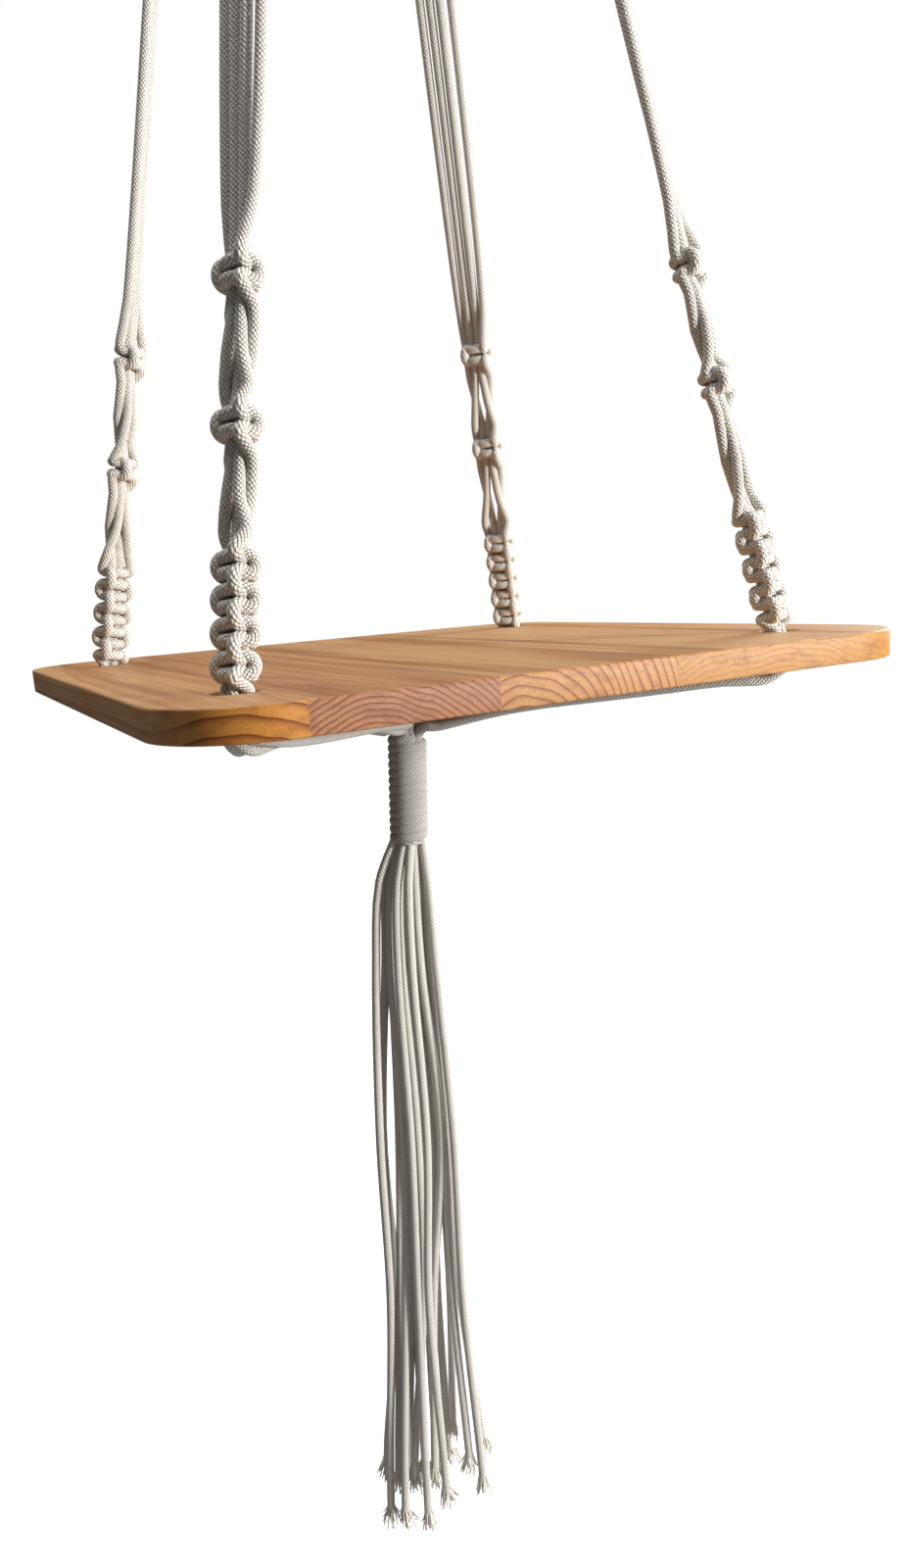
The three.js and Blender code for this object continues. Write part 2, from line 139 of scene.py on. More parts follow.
# How far across each tassel strand hangs at four levels, how deep at two, and where its brush ends
LEVEL = {"root": 145.0, "shoulder": 180.0, "upper": 250.0, "middle": 400.0, "lower": 550.0, "foot": 700.0}
Strand = namedtuple("Strand", "upper middle lower foot deep_upper deep_foot end")
STRANDS = [
    Strand(-49, -58, -61, -73, -3, -6, 775),
    Strand(-42, -56, -57, -76, 8, 8, 738),
    Strand(-37, -43, -53, -66, 13, 3, 750),
    Strand(-38, -38, -48, -60, 2, -12, 772),
    Strand(-31, -32, -37, -42, -9, -13, 775),
    Strand(-28, -27, -33, -51, 1, 0, 748),
    Strand(-20, -19, -28, -26, -11, -13, 752),
    Strand(-13, -7, -24, -34, -3, 2, 745),
    Strand(-7, -5, -8, -4, 2, -5, 728),
    Strand(-1, 3, 1, 6, -5, -7, 748),
    Strand(-4, -1, -2, 9, 11, 8, 722),
    Strand(-12, -9, -10, -17, 8, 7, 700),
    Strand(-19, -15, -21, -22, 10, 13, 735),
    Strand(-25, -24, -40, -44, 15, 10, 745),
    Strand(-16, -20, -30, -34, 18, 18, 750),
    Strand(-32, -35, -44, -56, 13, 12, 742),
]

# A strand's root in the binding, the share of the way out at its shoulder, and how it nears its foot's depth.
# Past the foot level it goes on outward by a share, and it has a point there only if its end is further on.
ROOT = {"spread": 0.42, "middle": -25.0, "depth": 0.5, "back": 1.0}
BEND = {"across": 0.65, "deep": 0.7}
DEEP = {"middle": 0.3, "lower": 0.65}
END = {"outward": 0.8, "least": 0.1}

# The frayed end of a strand, with the least and the most of what differs from yarn to yarn
BRUSH = {"length": 20.0, "yarns": 38, "root": 2.8, "tuck": 4.0, "sway": 0.7, "waves": 6.0, "flare": 1.1}
OPENNESS, SPREAD, REACH, YARN_RADIUS = (4.0, 6.5), (0.7, 1.15), (0.7, 1.0), (0.42, 0.62)
LEAN, CURL = 1.3, 1.2
YARN_POINTS = 6
SEED = 7

# The camera: its place and turns, and its lens, with the nearest and furthest view in metres
CAMERA = {"place": (-356.9, -735.5, 52.2), "yaw": -27.47, "pitch": -10.97, "roll": 3.95}
LENS = {"length": 24.52, "sensor": 36.0, "near": 0.01, "far": 50.0}

# The lights, in metres from the inside top of the loop
Lamp = namedtuple("Lamp", "name place aim size power colour")
LAMPS = [
    Lamp("key", (1.5, -1.95, -1.0), (0, 0, -1.45), 0.35, 88, (1.0, 0.99, 0.97)),
    Lamp("side", (1.5, 0.3, -0.9), (0, 0, -1.3), 0.7, 24, (1.0, 0.985, 0.96)),
    Lamp("ceiling", (-0.1, 0.3, 0.9), (0, 0, -1.3), 2.0, 50, (1.0, 0.985, 0.96)),
]
WORLD = {"on_things": 0.095, "seen": 1.0}
FLOOR = {"drop": 0.06, "reach": 12.0, "grey": 0.3}  # in metres

# Colours of the cotton: its own colour on top of a stitch or fibre, and a darker one as painted shade in the
# grooves between
Cotton = namedtuple("Cotton", "name light groove")
LEG_COTTON = Cotton("leg_cotton", (0.92, 0.895, 0.845), (0.50, 0.455, 0.385))
# The bindings' cotton is the legs' cotton made darker: painted shade for the board's shadow over the tassel
# binding, which the top binding shares
SHADED_BINDING_COTTON = Cotton("binding_cotton_painted_shade", (0.66, 0.64, 0.605), (0.28, 0.255, 0.22))
TASSEL_COTTON = Cotton("tassel_cotton", (0.98, 0.955, 0.90), (0.58, 0.53, 0.46))
FRAYED_COTTON = Cotton("frayed_cotton", (0.92, 0.89, 0.82), (0.66, 0.61, 0.52))

# The braid: grooves wind round the cord both ways, so many in one turn and so far apart along it, and cut it
# into stitches. One way's grooves are broader than the other's.
BRAID = {"winds": 8, "rise": 2.9, "waver": 2.2, "fuzz": 0.25, "depth": 0.8}
GROOVES = ((1, 0.7), (-1, 0.35))

# Noise in the cotton, with its scale for each metre
Fuzz = namedtuple("Fuzz", "scale detail roughness")
WAVER = Fuzz(160.0, 1.0, 0.5)
FIBRES = Fuzz(1400.0, 2.0, 0.6)
PATCHES = Fuzz(35.0, 3.0, 0.6)
LOOSE_FIBRES = Fuzz(900.0, 2.0, 0.6)
FIBRE_DEPTH = 0.2

# The board's staves: where each starts, its growth rings' middle, their spacing, and its colours
Stave = namedtuple("Stave", "start ring_x ring_z spacing contrast top edge")
STAVES = [
    Stave(-250, -222, -95, 9.0, 1.0, (0.57, 0.320, 0.145), (0.64, 0.270, 0.055)),
    Stave(-185, -150, -75, 3.2, 1.0, (0.51, 0.270, 0.125), (0.45, 0.205, 0.100)),
    Stave(-80, -60, -40, 5.4, 0.85, (0.56, 0.325, 0.150), (0.57, 0.280, 0.105)),
    Stave(39, 110, -180, 3.6, 0.35, (0.56, 0.330, 0.155), (0.54, 0.275, 0.090)),
    Stave(169, 150, -190, 4.2, 0.25, (0.55, 0.320, 0.150), (0.52, 0.250, 0.062)),
]
DEEPEST_RING, WIDEST_RING = 200.0, 10.0  # a ramp holds the rings' depth and spacing as shares of these

# Noise in the wood, with its scales for each metre across, along and through the board. Where it has none
# through the board, it differs from stave to stave instead.
Grain = namedtuple("Grain", "across along through detail roughness")
GRAINS = {
    "drift": Grain(9.0, 1.6, None, 3.0, 0.5),
    "shiver": Grain(90.0, 5.0, 90.0, 3.0, 0.6),
    "streaks": Grain(260.0, 7.0, 260.0, 4.0, 0.65),
    "pores": Grain(1300.0, 40.0, 1300.0, 2.0, 0.6),
    "bands": Grain(42.0, 2.2, None, 3.0, 0.55),
    "blots": Grain(60.0, 1.0, 170.0, 4.0, 0.65),
}
BENDS = (("drift", 35.0), ("shiver", 1.6))  # how far they push the growth rings aside

# What a reading becomes between two bounds: from 0 to 1, or from the third number to the fourth
LEVELS = {
    "stitch": (0.15, 0.85),
    "patch": (0.2, 0.7, 0.8, 1.0),
    "fibre": (0.3, 0.7),
    "ring_rise": (0.35, 0.9),
    "ring_end": (0.93, 1.0, 1.0, 0.0),
    "end_grain": (0.35, 0.75),
    "roughness": (0.3, 0.8, 0.44, 0.6),
}

# How strongly the late wood and each noise darken the faces and the end grain, between two noise levels
Mark = namedtuple("Mark", "grain low high most")
FACE_MARKS = (Mark("streaks", 0.42, 0.75, 0.7), Mark("bands", 0.48, 0.66, 0.9))
END_MARKS = (Mark("pores", 0.45, 0.8, 0.5), Mark("blots", 0.5, 0.72, 0.55))
Surface = namedtuple("Surface", "late dark marks")
FACES = Surface(0.55, (0.58, 0.44, 0.36, 1), FACE_MARKS)
ENDS = Surface(1.0, (0.34, 0.20, 0.19, 1), END_MARKS)
LATE_WOOD = {"power": 1.9, "height": -0.3}
PORE_HEIGHT = 0.5
GRAIN_DEPTH = 0.3


def metres(place):
    """A place in millimetres from the board's top, in metres from the inside top of the loop."""
    return (np.asarray(place, float) - [0, 0, HANG]) * MM


def unit(vector):
    return vector / np.linalg.norm(vector)


def blend(a, b, share):
    return (1 - share) * a + share * b


def add_object(name, data):
    thing = bpy.data.objects.new(name, data)
    bpy.context.scene.collection.objects.link(thing)
    return thing


def make_camera():
    """A camera that looks level along +Y, and is then rolled, tilted and turned."""
    data = bpy.data.cameras.new("camera")
    data.sensor_width = LENS["sensor"]
    data.lens = LENS["length"]
    data.clip_start = LENS["near"]
    data.clip_end = LENS["far"]
    camera = add_object("camera", data)
    turn = Matrix.Identity(4)
    for degrees, axis in ((CAMERA["yaw"], "Z"), (CAMERA["pitch"], "X"), (CAMERA["roll"], "Y"), (90, "X")):
        turn = turn @ Matrix.Rotation(math.radians(degrees), 4, axis)
    camera.matrix_world = Matrix.Translation(metres(CAMERA["place"])) @ turn
    bpy.context.scene.camera = camera


# Curves and tubes
def curve_span(a, b, c, d, step):
    """The samples after b, up to c, of the centripetal Catmull-Rom curve through four points."""
    knots = np.cumsum([0.0] + [math.sqrt(np.linalg.norm(q - p)) for p, q in ((a, b), (b, c), (c, d))])
    steps = max(2, math.ceil(np.linalg.norm(c - b) / step))
    t = np.linspace(knots[1], knots[2], steps + 1)[1:, None]

    def between(p, q, start, end):
        return (p * (end - t) + q * (t - start)) / (end - start)

    ab = between(a, b, knots[0], knots[1])
    bc = between(b, c, knots[1], knots[2])
    cd = between(c, d, knots[2], knots[3])
    abc = between(ab, bc, knots[0], knots[2])
    bcd = between(bc, cd, knots[1], knots[3])
    return between(abc, bcd, knots[1], knots[2])


def curve_through(points, step):
    """A curve through the points, and the sample that falls on each point."""
    points = [np.asarray(p, float) for p in points]
    ends = [2 * points[0] - points[1], *points, 2 * points[-1] - points[-2]]
    samples = [points[0][None]]
    marks = [0]
    for a, b, c, d in zip(ends, ends[1:], ends[2:], ends[3:]):
        span = curve_span(a, b, c, d, step)
        samples.append(span)
        marks.append(marks[-1] + len(span))
    return np.concatenate(samples), marks


def thinned(line, marks, widest=math.radians(7), longest=18.0):
    """Drops the samples that a straight stretch has no use for, and keeps every marked one."""
    kept = [0]
    kept_marks = [0]
    heading = unit(line[1] - line[0])
    for i in range(1, len(line)):
        last = i == len(line) - 1
        onward = heading if last else unit(line[i + 1] - line[i])
        turned = math.acos(min(1.0, float(onward @ heading)))
        if last or i in marks or turned > widest or np.linalg.norm(line[i] - line[kept[-1]]) > longest:
            if i in marks:
                kept_marks.append(len(kept))
            kept.append(i)
            heading = onward
    return line[kept], kept_marks


class Cord:
    """A cord's centre line with the directions across it, its length so far, and where its points fall."""

    START_ASIDE = (0.31, 0.52, 0.79)  # a direction that no cord starts along

    def __init__(self, points, step=1.0, axis=None):
        line, marks = curve_through(points, step)
        self.line, self.marks = thinned(line, set(marks))
        steps = np.linalg.norm(np.diff(self.line, axis=0), axis=1)
        self.length = np.concatenate([[0.0], np.cumsum(steps)])
        tangents = np.gradient(self.line, axis=0)
        tangents /= np.linalg.norm(tangents, axis=1)[:, None]
        self.tangents = tangents
        side = np.cross(tangents[0], self.START_ASIDE)
        sides = []
        for tangent in tangents:
            across = side if axis is None else axis
            side = unit(across - (across @ tangent) * tangent)
            sides.append(side)
        self.sides = np.array(sides)
        self.fronts = np.cross(tangents, self.sides)


class Tubes:
    """Cords gathered into one mesh. Its map runs once round each cord, and along it in millimetres."""

    def __init__(self):
        self.places = []
        self.faces = []
        self.maps = []
        self.count = 0

    def add(self, cord, radius=CORD_RADIUS, corners=14, start=0, end=None, squash=1.0):
        part = slice(start, None if end is None else end + 1)
        line = cord.line[part]
        radius = np.broadcast_to(radius, len(line))[:, None, None]
        turn = np.linspace(0, 2 * np.pi, corners, endpoint=False)[None, :, None]
        ring = np.cos(turn) * cord.sides[part][:, None] + squash * np.sin(turn) * cord.fronts[part][:, None]
        self.places.append((line[:, None] + radius * ring).reshape(-1, 3))
        rows = np.arange(len(line) - 1)[:, None] * corners
        here = np.arange(corners)[None]
        there = (here + 1) % corners
        quads = [rows + here, rows + there, rows + corners + there, rows + corners + here]
        self.faces.append(self.count + np.stack(quads, axis=2).reshape(-1, 4))
        length = cord.length[part]
        low = np.repeat(length[:-1, None], corners, axis=1)
        high = np.repeat(length[1:, None], corners, axis=1)
        near = np.broadcast_to(here / corners, low.shape)
        far = near + 1 / corners
        maps = np.stack([near, low, far, low, far, high, near, high], axis=2)
        self.maps.append(maps.reshape(-1, 2))
        self.count += len(line) * corners

    def piece(self, name, node, slot, material):
        mesh = bpy.data.meshes.new(name)
        places = metres(np.concatenate(self.places))
        mesh.from_pydata(places.tolist(), [], np.concatenate(self.faces).tolist())
        layer = mesh.uv_layers.new(name="along_cord")
        layer.data.foreach_set("uv", np.concatenate(self.maps).astype(np.float32).ravel())
        mesh.shade_smooth()
        finished(name, mesh, node, material)


def finished(name, mesh, node, material):
    """Puts a mesh in the scene in place of its CAD node."""
    mesh.materials.append(material)
    piece = add_object(name, mesh)
    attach(piece, "root")
    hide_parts(node)


# Materials
class Shader:
    """A short way to write a material's nodes."""

    def __init__(self, name):
        self.material = bpy.data.materials.new(name)
        self.material.use_nodes = True
        self.tree = self.material.node_tree
        self.surface = self.tree.nodes["Principled BSDF"]

    def feed(self, socket, value):
        if isinstance(value, bpy.types.NodeSocket):
            self.tree.links.new(value, socket)
        else:
            socket.default_value = value

    def node(self, kind, inputs, **settings):
        node = self.tree.nodes.new("ShaderNode" + kind)
        for name, value in settings.items():
            setattr(node, name, value)
        for key, value in inputs.items():
            self.feed(node.inputs[key], value)
        return node

    def math(self, operation, *values):
        inputs = dict(enumerate(values))
        return self.node("Math", inputs, operation=operation).outputs[0]

    def mix(self, share, a, b, blend_type="MIX"):
        """A mix of two colours, which are the Mix node's inputs 6 and 7 and its output 2."""
        inputs = {0: share, 6: a, 7: b}
        node = self.node("Mix", inputs, data_type="RGBA", blend_type=blend_type, clamp_factor=True)
        return node.outputs[2]

    def noise(self, vector, scale, detail, roughness):
        inputs = {"Vector": vector, "Scale": scale, "Detail": detail, "Roughness": roughness}
        return self.node("TexNoise", inputs).outputs["Fac"]

    def ramp(self, factor, stops):
        """A ramp that keeps each stop's colour up to the next stop."""
        node = self.node("ValToRGB", {0: factor})
        node.color_ramp.interpolation = "CONSTANT"
        elements = node.color_ramp.elements
        elements.remove(elements[1])
        for i, (position, colour) in enumerate(stops):
            element = elements[0] if i == 0 else elements.new(position)
            element.position = position
            element.color = (*colour, 1.0)
        return node.outputs["Color"]

    def level(self, value, low, high, to_low=0.0, to_high=1.0):
        inputs = {"Value": value, "From Min": low, "From Max": high, "To Min": to_low, "To Max": to_high}
        return self.node("MapRange", inputs, clamp=True).outputs["Result"]

    def place(self):
        return self.node("TexCoord", {}).outputs["Object"]

    def parts(self, vector):
        return self.node("SeparateXYZ", {0: vector}).outputs

    def bump(self, height, depth):
        """Relief of a depth in millimetres."""
        inputs = {"Height": height, "Distance": depth * MM, "Strength": 1.0}
        return self.node("Bump", inputs).outputs["Normal"]

    def finish(self, **sockets):
        for name, value in sockets.items():
            self.feed(self.surface.inputs[name.replace("_", " ")], value)
        return self.material


def braided(cotton):
    s = Shader(cotton.name)
    u, v = s.parts(s.node("UVMap", {}, uv_map="along_cord").outputs["UV"])[:2]
    around = s.math("MULTIPLY", u, BRAID["winds"])
    along = s.math("MULTIPLY_ADD", s.noise(s.place(), *WAVER), BRAID["waver"], v)
    humps = []
    for sign, power in GROOVES:
        way = s.math("MULTIPLY_ADD", along, sign / BRAID["rise"], around)
        hump = s.math("SINE", s.math("MULTIPLY", s.math("FRACT", way), math.pi))
        humps.append(s.math("POWER", hump, power))
    stitch = s.math("MULTIPLY", *humps)
    height = s.math("MULTIPLY_ADD", s.noise(s.place(), *FIBRES), BRAID["fuzz"], stitch)
    patch = s.level(s.noise(s.place(), *PATCHES), *LEVELS["patch"])
    # The grooves between stitches take the groove colour, which is painted shade; random patches add a tone
    # of the cotton's own
    shade = s.math("MULTIPLY", s.level(stitch, *LEVELS["stitch"]), patch)
    return s.finish(
        Base_Color=s.mix(shade, (*cotton.groove, 1.0), (*cotton.light, 1.0)),
        Normal=s.bump(height, BRAID["depth"]),
        Roughness=0.92,
        Specular_IOR_Level=0.2,
        Sheen_Weight=0.15,
        Sheen_Roughness=0.6,
    )


def loose(cotton):
    s = Shader(cotton.name)
    fibre = s.noise(s.place(), *LOOSE_FIBRES)
    # Where the fibre noise is low the yarn takes the groove colour, painted shade between the fibres
    shade = s.level(fibre, *LEVELS["fibre"])
    return s.finish(
        Base_Color=s.mix(shade, (*cotton.groove, 1.0), (*cotton.light, 1.0)),
        Normal=s.bump(fibre, FIBRE_DEPTH),
        Roughness=0.95,
        Specular_IOR_Level=0.15,
    )


class Wood(Shader):
    """The board's wood: five staves, each with growth rings, contrast and colours of its own."""

    def __init__(self, name):
        super().__init__(name)
        self.x, self.y, self.z = self.parts(self.place())
        looks = [(stave.contrast, i / len(STAVES), 0) for i, stave in enumerate(STAVES)]
        self.contrast, self.number = self.parts(self.by_stave(looks))[:2]
        self.noises = {kind: self.grain(grain) for kind, grain in GRAINS.items()}

    def by_stave(self, values):
        """One value for each stave, chosen by the place across the board."""
        half = BOARD["width"] / 2
        share = self.level(self.x, -half * MM, half * MM)
        stops = [((stave.start + half) / BOARD["width"], value) for stave, value in zip(STAVES, values)]
        return self.ramp(share, stops)

    def grain(self, grain):
        across = self.math("MULTIPLY", self.x, grain.across)
        along = self.math("MULTIPLY", self.y, grain.along)
        through = self.number if grain.through is None else self.math("MULTIPLY", self.z, grain.through)
        place = self.node("CombineXYZ", {0: across, 1: along, 2: through}).outputs[0]
        return self.noise(place, 1.0, grain.detail, grain.roughness)

    def from_tree(self, middle_x, middle_z):
        """The distance from the middle of a stave's growth rings, a little uneven."""
        dx = self.math("SUBTRACT", self.x, middle_x)
        dz = self.math("SUBTRACT", self.z, middle_z)
        squares = self.math("ADD", self.math("MULTIPLY", dx, dx), self.math("MULTIPLY", dz, dz))
        distance = self.math("SQRT", squares)
        for kind, push in BENDS:
            uneven = self.math("SUBTRACT", self.noises[kind], 0.5)
            distance = self.math("MULTIPLY_ADD", uneven, push * MM, distance)
        return distance

    def late_wood(self):
        """The dark late wood of each ring, which comes on slowly and ends at once."""
        width = BOARD["width"]
        across = [(stave.ring_x + width / 2) / width for stave in STAVES]
        deep = [-stave.ring_z / DEEPEST_RING for stave in STAVES]
        wide = [stave.spacing / WIDEST_RING for stave in STAVES]
        rings = self.parts(self.by_stave(zip(across, deep, wide)))
        middle_x = self.math("MULTIPLY_ADD", rings[0], width * MM, -width / 2 * MM)
        middle_z = self.math("MULTIPLY_ADD", rings[1], -DEEPEST_RING * MM, -HANG * MM)
        spacing = self.math("MULTIPLY", rings[2], WIDEST_RING * MM)
        ring = self.math("FRACT", self.math("DIVIDE", self.from_tree(middle_x, middle_z), spacing))
        rise = self.level(ring, *LEVELS["ring_rise"])
        late = self.math("MULTIPLY", rise, self.level(ring, *LEVELS["ring_end"]))
        return self.math("MULTIPLY", self.math("POWER", late, LATE_WOOD["power"]), self.contrast)

    def shaded(self, colours, late, surface):
        """The staves' colours, darkened by the late wood and then by each noise of the surface."""
        colour = self.by_stave(colours)
        dark = self.mix(1.0, colour, surface.dark, "MULTIPLY")
        colour = self.mix(self.math("MULTIPLY", late, surface.late), colour, dark)
        for mark in surface.marks:
            strength = self.level(self.noises[mark.grain], mark.low, mark.high, 0.0, mark.most)
            colour = self.mix(strength, colour, dark)
        return colour


def wood():
    s = Wood("waxed_softwood")
    late = s.late_wood()
    face = s.shaded([stave.top for stave in STAVES], late, FACES)
    ends = s.shaded([stave.edge for stave in STAVES], late, ENDS)
    normal_y = s.parts(s.node("TexCoord", {}).outputs["Normal"])[1]
    end_grain = s.level(s.math("ABSOLUTE", normal_y), *LEVELS["end_grain"])
    pores = s.math("MULTIPLY", s.noises["pores"], PORE_HEIGHT)
    height = s.math("ADD", s.math("MULTIPLY", late, LATE_WOOD["height"]), pores)
    return s.finish(
        Base_Color=s.mix(end_grain, face, ends),
        Normal=s.bump(height, GRAIN_DEPTH),
        Roughness=s.level(s.noises["streaks"], *LEVELS["roughness"]),
        Specular_IOR_Level=0.3,
    )


# Legs: each one's four cords are followed from the top down, as places along, across and out of the leg
def leg_twist(leg, height):
    """The sinnet's twist, turning to the upper one between the sinnet and the knot above it."""
    turning = (leg.sinnet_top, leg.lower_knot - SINGLE_KNOT / 2)
    return math.radians(np.interp(height, turning, (leg.twist, leg.upper_twist)))


def leg_place(leg, height, across, facing):
    foot = np.array([leg.x * LEG_X, leg.y * LEG_Y, 0.0])
    apex = np.array([0.0, 0.0, APEX])
    up = unit(apex - foot)
    tangent = unit(np.cross(foot, up))
    turn = leg_twist(leg, height)
    side = math.cos(turn) * tangent + math.sin(turn) * np.cross(up, tangent)
    return foot + (apex - foot) * height / APEX + across * side + facing * np.cross(up, side)


def side_by_side(slot, pitch):
    return (slot - (CORDS - 1) / 2) * pitch


def zigzag(slot, pitch):
    """How far out of the row a cord stands where the row is too narrow for it."""
    stagger = math.sqrt(max(0.0, OPEN_PITCH**2 - pitch**2)) / 2
    return stagger if slot % 2 else -stagger


class FourCords:
    """The four cords of a leg, each a list of the points that it has passed so far."""

    def __init__(self, leg):
        self.leg = leg
        self.routes = [[] for _ in range(CORDS)]
        self.girths = [[] for _ in range(CORDS)]
        self.order = [0, 1, 2, 3]

    def start(self, height):
        """The cords' upper ends, close together inside the top binding."""
        for slot in range(CORDS):
            end = leg_place(self.leg, height, side_by_side(slot, BUNCH_PITCH), zigzag(slot, BUNCH_PITCH))
            self.routes[slot].append(end * [DRAWN_IN, DRAWN_IN, 1.0])
            self.girths[slot].append(CORD_RADIUS)

    def go(self, slot, height, across, facing, girth=1.0):
        cord = self.order[slot]
        self.routes[cord].append(leg_place(self.leg, height, across, facing))
        self.girths[cord].append(girth * CORD_RADIUS)

    def level(self, height, pitch):
        for slot in range(CORDS):
            self.go(slot, height, side_by_side(slot, pitch), zigzag(slot, pitch))

    def swap(self):
        """The outer and the inner cord of each side have changed places."""
        self.order = [self.order[i] for i in (1, 0, 3, 2)]

    def knot(self, top, foot, bars, start):
        """Square knots round the inner cords: one outer cord's bars pass in front, the other's behind."""
        for slot in INNER:
            for height in (top, (top + foot) / 2, foot):
                self.go(slot, height, side_by_side(slot, KNOT_PITCH), 0.0, KNOT_SWELL)
        front_slot, back_slot = (0, 3) if start < 0 else (3, 0)
        self.work(front_slot, top, foot, bars, start, UNDER)
        self.work(back_slot, top, foot, bars, -start, OVER)

    def work(self, slot, top, foot, bars, side, passes):
        """A working cord's way down through a row of knots, from side to side at each bar."""
        pitch = (top - foot) / bars
        for bar in range(bars + 1):
            for way in passes:
                inside = (bar > 0 or way.below > 0) and (bar < bars or way.below < 0)
                if inside:
                    height = top - (bar + way.below) * pitch
                    self.go(slot, height, side * way.across, way.facing, KNOT_SWELL)
            side = -side

    def crossing(self, top, foot, end_pitch):
        """Between two knots the inner cords come outward in front, and the outer ones go in behind."""
        span = top - foot
        for slot in range(CORDS):
            ahead = CORD_RADIUS if slot in INNER else -CORD_RADIUS
            other = slot ^ 1
            here = side_by_side(slot, CROSS_PITCH)
            middle = (here + side_by_side(other, CROSS_PITCH)) / 2
            end = side_by_side(other, end_pitch)
            self.go(slot, top - CROSSING["margin"] * span, here, CROSSING["facing_above"] * ahead)
            self.go(slot, top - CROSSING["middle"] * span, middle, ahead)
            self.go(slot, foot + CROSSING["margin"] * span, end, CROSSING["facing_below"] * ahead)
        self.swap()


def leg_routes(leg):
    cords = FourCords(leg)
    half = SINGLE_KNOT / 2
    cords.start(TOP_WRAP["height"] + WRAP["pitch"])
    cords.level(LEG_TOP + FAN["bunched_above"], BUNCH_PITCH)
    cords.level(LEG_TOP, BUNCH_PITCH)
    cords.level(LEG_TOP - FAN["bunched_below"], BUNCH_PITCH)
    cords.level(LEG_TOP - FAN["open_below"], OPEN_PITCH)
    cords.level(leg.upper_knot + half + FAN["open_over_knot"], OPEN_PITCH)
    cords.knot(leg.upper_knot + half, leg.upper_knot - half, SINGLE_BARS, leg.start)
    cords.crossing(leg.upper_knot - half, leg.lower_knot + half, CROSS_PITCH)
    cords.knot(leg.lower_knot + half, leg.lower_knot - half, SINGLE_BARS, leg.start)
    cords.crossing(leg.lower_knot - half, leg.sinnet_top, OPEN_PITCH)
    cords.knot(leg.sinnet_top, leg.sinnet_foot, leg.bars, leg.start)
    cords.level(min(0.0, leg.sinnet_foot - BELOW_SINNET), HOLE_PITCH)
    cords.level(LEG_BOTTOM, BUNCH_PITCH)
    return cords


def tassel_place(across, deep, drop):
    x = across * math.cos(VIEW_TURN) - deep * math.sin(VIEW_TURN)
    y = across * math.sin(VIEW_TURN) + deep * math.cos(VIEW_TURN)
    return np.array([x, y, -drop])


def run_routes(leg):
    """The four cords' points under the board, by slot: along the run, and then down into the binding."""
    foot = leg_place(leg, LEG_BOTTOM, 0, 0) * [1, 1, 0]
    hub = tassel_place(HUB["across"], 0, 0)
    length = np.linalg.norm(hub - foot)
    inward = (hub - foot) / length
    side = np.cross([0, 0, 1], inward)

    def place(travelled, drop, slot, pitch):
        spot = foot + inward * travelled + side * side_by_side(slot, pitch)
        return spot * [1, 1, 0] + [0, 0, -drop - zigzag(slot, pitch)]

    routes = []
    end = length - RUN_END["reach"]
    for slot in range(CORDS):
        below = LEG_BOTTOM - CORD_RADIUS
        points = [leg_place(leg, below, side_by_side(slot, BUNCH_PITCH), zigzag(slot, BUNCH_PITCH))]
        points += [place(stage.way * length, stage.drop, slot, stage.pitch) for stage in RUN]
        points.append(place(end - RUN_END["level"], RUN_END["drop"], slot, RUN_END["pitch"]))
        points.append(place(end, RUN_END["drop"], slot, RUN_END["pitch"]))
        points.append(points[-1] + inward * CORD_RADIUS)
        points += [place(length - s.reach, s.drop, slot, BUNCH_PITCH) for s in SHOULDERS]
        routes.append(points)
    return routes


def make_leg(leg, bound, head, material):
    """One leg's cords from end to end, cut where they leave the top binding, the leg and the run."""
    cords = leg_routes(leg)
    under = run_routes(leg)
    shown = Tubes()
    runs = Tubes()
    for slot in range(CORDS):
        route = cords.routes[cords.order[slot]]
        girths = cords.girths[cords.order[slot]]
        whole = Cord(route + under[slot])
        top = whole.marks[TOP_POINT]
        bottom = whole.marks[len(route) - 1]
        end = whole.marks[len(route) + RUN_POINTS]
        girth = np.interp(range(top, bottom + 1), whole.marks[:len(girths)], girths)
        bound.add(whole, end=top)
        shown.add(whole, girth, start=top, end=bottom)
        runs.add(whole, start=bottom, end=end)
        head.add(whole, start=end)
    shown.piece("leg_cords_" + leg.name, "leg_" + leg.name, "leg_cord", material)
    runs.piece("run_cords_" + leg.name, "run_" + leg.name, "leg_cord", material)


# Bindings
def helix(seat, top, turns):
    """A cord wound up from seat to top, its two ends tucked inside."""
    axis = unit(top - seat)
    side = unit(np.cross(WINDING["starts_across"], axis))
    front = np.cross(axis, side)
    reach = np.linalg.norm(top - seat)
    points = []
    steps = turns * WINDING["steps"]
    for i in range(steps + 1):
        turn = 2 * math.pi * i / WINDING["steps"]
        tuck = min(1.0, blend(WINDING["tucked_in"], 1.0, min(i, steps - i) / WINDING["tuck_steps"]))
        rise = CORD_RADIUS + (reach - 2 * CORD_RADIUS) * i / steps
        spoke = math.cos(turn) * side + math.sin(turn) * front
        points.append(seat + rise * axis + WRAP["centre_radius"] * tuck * spoke)
    return points


def add_wrap(tubes, seat, top, turns):
    tubes.add(Cord(helix(seat, top, turns), axis=unit(top - seat)), WRAP["width"], squash=WRAP["squash"])
    low = seat + [0, 0, CORE["inset"]]
    high = top - [0, 0, CORE["inset"]]
    tubes.add(Cord([low, (low + high) / 2, high]), CORE["radius"], corners=24)


